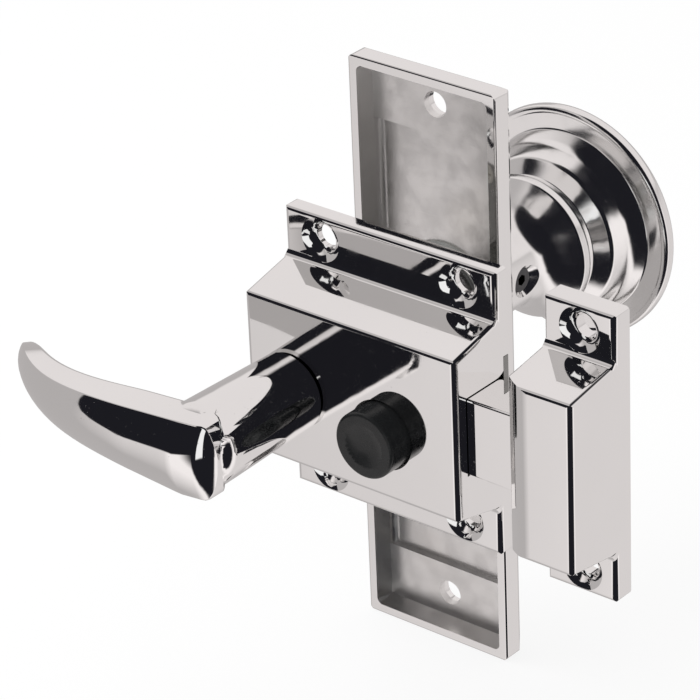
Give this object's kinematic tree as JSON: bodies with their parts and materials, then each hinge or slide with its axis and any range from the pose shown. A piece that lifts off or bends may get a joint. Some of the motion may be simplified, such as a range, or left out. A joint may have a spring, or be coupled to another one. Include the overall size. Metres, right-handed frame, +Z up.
{
  "type": "rim latch",
  "caption": "Surface-mounted door latch with a lever and push snib on a cast case, a sprung bolt with its strike, and an outside plate with a round knob.",
  "frame": {"origin": "middle of the case's back, on the face of the door, at the centre of the case's four fixing holes", "axes": "+X along the door towards the strike, +Y from the room into the door, +Z up"},
  "size_m": [0.1248, 0.1362, 0.13],
  "materials": {
    "chrome_plate": "polished chrome plate on a zinc casting",
    "satin_casting": "dull satin plating with a polished rim",
    "zinc_steel": "bright zinc on pressed steel",
    "screw_steel": "zinc-plated screw",
    "spring_steel": "oiled spring steel",
    "black_steel": "black oxide",
    "black_plastic": "matte moulded plastic",
    "dark_nylon": "moulded nylon",
    "pale_nylon": "moulded nylon"
  },
  "bodies": {
    "case": {"latch_case": "chrome_plate", "back_plate": "zinc_steel", "back_plate_screws": "screw_steel", "snib_bridge": "zinc_steel", "bridge_screws": "screw_steel", "bolt_spring": "spring_steel", "snib_spring": "spring_steel", "outside_plate": "satin_casting", "plate_bush": "dark_nylon", "strike_case": "chrome_plate"},
    "lever": {"lever_handle": "chrome_plate", "lever_washer": "pale_nylon", "lever_circlip": "spring_steel", "hub_cam": "zinc_steel", "spindle": "zinc_steel", "outside_knob": "chrome_plate", "knob_circlip": "spring_steel", "knob_grub_screw": "black_steel"},
    "bolt": {"latch_bolt": "chrome_plate", "bolt_tail": "zinc_steel", "tail_rivets": "zinc_steel", "drive_pins": "zinc_steel"},
    "snib": {"snib_button": "black_plastic", "lock_pin": "zinc_steel"}
  },
  "joints": [
    {"name": "lever_turn", "type": "hinge", "parent": "case", "child": "lever", "pos_m": [-0.015, 0, -0.001], "axis": [0, -1, 0], "range_deg": [0, 45]},
    {"name": "bolt_slide", "type": "slide", "parent": "case", "child": "bolt", "axis": [-1, 0, 0], "range_m": [0, 0.0105], "stiffness_N_per_m": 300, "springref_m": -0.012, "deforming": ["bolt_spring"]},
    {"name": "snib_press", "type": "slide", "parent": "case", "child": "snib", "axis": [0, 1, 0], "range_m": [0, 0.003], "stiffness_N_per_m": 400, "springref_m": -0.003, "deforming": ["snib_spring"]}
  ],
  "couplings": [
    {"joint": "bolt_slide", "follows": "lever_turn", "m_per_rad": 0.01336}
  ]
}
